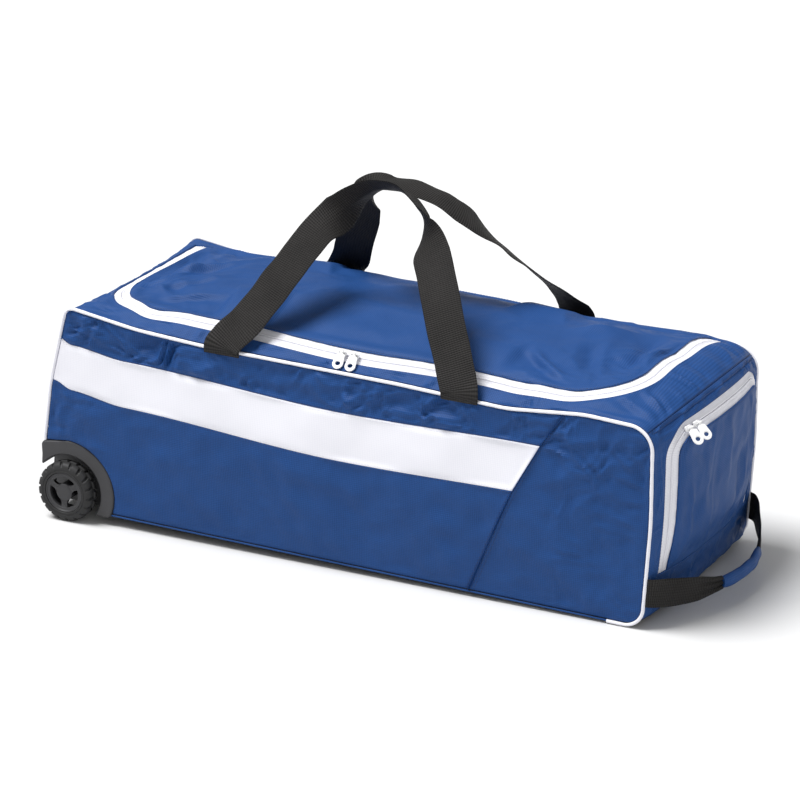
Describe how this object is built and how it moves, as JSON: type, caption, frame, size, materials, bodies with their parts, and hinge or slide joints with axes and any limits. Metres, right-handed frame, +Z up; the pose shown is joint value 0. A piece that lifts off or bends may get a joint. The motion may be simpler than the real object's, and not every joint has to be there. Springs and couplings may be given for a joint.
{
  "type": "wheeled kit bag",
  "caption": "Long soft kit bag with a zipped domed lid, an end pocket, webbing carry straps over the top, a grab handle at one end and wheels in corner housings at the other.",
  "frame": {"origin": "centre of the bounding box's underside, on the floor the bag stands on", "axes": "+Z up, +X towards the end with the grab handle and the pocket, -X towards the wheels, -Y towards the long side seen in the picture"},
  "size_m": [1.0106, 0.388, 0.5193],
  "materials": {
    "blue_cloth": "ribbed polyester with a slight sheen",
    "white_cloth": "coated polyester, satin",
    "black_cloth": "coarse coated polyester",
    "webbing": "ribbed polypropylene webbing",
    "white_plastic": "moulded, satin",
    "grey_plastic": "moulded, fine texture",
    "black_plastic": "moulded, satin",
    "tyre_rubber": "hard treaded rubber"
  },
  "bodies": {
    "bag": {"front_lower_panel": "blue_cloth", "front_stripe": "white_cloth", "front_upper_panel": "blue_cloth", "front_corner_panel": "blue_cloth", "back_panel": "blue_cloth", "front_piping": "white_cloth", "back_piping": "white_cloth", "lid": "blue_cloth", "lid_zip_tape_inner": "white_cloth", "lid_zip_tape_outer": "white_cloth", "top_rim": "blue_cloth", "end_pocket_panel": "blue_cloth", "pocket_zip_tape_inner": "white_cloth", "pocket_zip_tape_outer": "white_cloth", "handle_end_panel": "blue_cloth", "base_panel": "black_cloth", "wheel_end_panel": "blue_cloth", "front_carry_strap": "webbing", "rear_carry_strap": "webbing", "end_handle_front_tab": "webbing", "end_handle_rear_tab": "webbing", "end_handle_grip": "blue_cloth", "front_wheel_housing": "grey_plastic", "rear_wheel_housing": "grey_plastic", "lid_left_slider": "white_plastic", "lid_right_slider": "white_plastic", "pocket_left_slider": "white_plastic", "pocket_right_slider": "white_plastic"},
    "front_wheel": {"front_tyre": "tyre_rubber", "front_hub": "black_plastic"},
    "rear_wheel": {"rear_tyre": "tyre_rubber", "rear_hub": "black_plastic"},
    "lid_left_tab": {"lid_left_pull": "white_plastic"},
    "lid_right_tab": {"lid_right_pull": "white_plastic"},
    "pocket_left_tab": {"pocket_left_pull": "white_plastic"},
    "pocket_right_tab": {"pocket_right_pull": "white_plastic"}
  },
  "joints": [
    {"name": "front_wheel_spin", "type": "hinge", "parent": "bag", "child": "front_wheel", "pos_m": [-0.45636, -0.181, 0.04349], "axis": [0, 1, 0], "continuous": true},
    {"name": "rear_wheel_spin", "type": "hinge", "parent": "bag", "child": "rear_wheel", "pos_m": [-0.45636, 0.181, 0.04349], "axis": [0, 1, 0], "continuous": true},
    {"name": "lid_left_pull_lift", "type": "hinge", "parent": "bag", "child": "lid_left_tab", "pos_m": [-0.03103, -0.15845, 0.31223], "axis": [-0.9997, 0, 0.025], "range_deg": [0, 110]},
    {"name": "lid_right_pull_lift", "type": "hinge", "parent": "bag", "child": "lid_right_tab", "pos_m": [-0.01205, -0.15858, 0.31167], "axis": [-0.9997, 0, 0.024], "range_deg": [0, 110]},
    {"name": "pocket_left_pull_lift", "type": "hinge", "parent": "bag", "child": "pocket_left_tab", "pos_m": [0.46091, -0.11136, 0.27107], "axis": [-0.4573, -0.8679, -0.1941], "range_deg": [0, 100]},
    {"name": "pocket_right_pull_lift", "type": "hinge", "parent": "bag", "child": "pocket_right_tab", "pos_m": [0.4644, -0.09205, 0.27201], "axis": [-0.4193, -0.8902, -0.1781], "range_deg": [0, 100]}
  ]
}
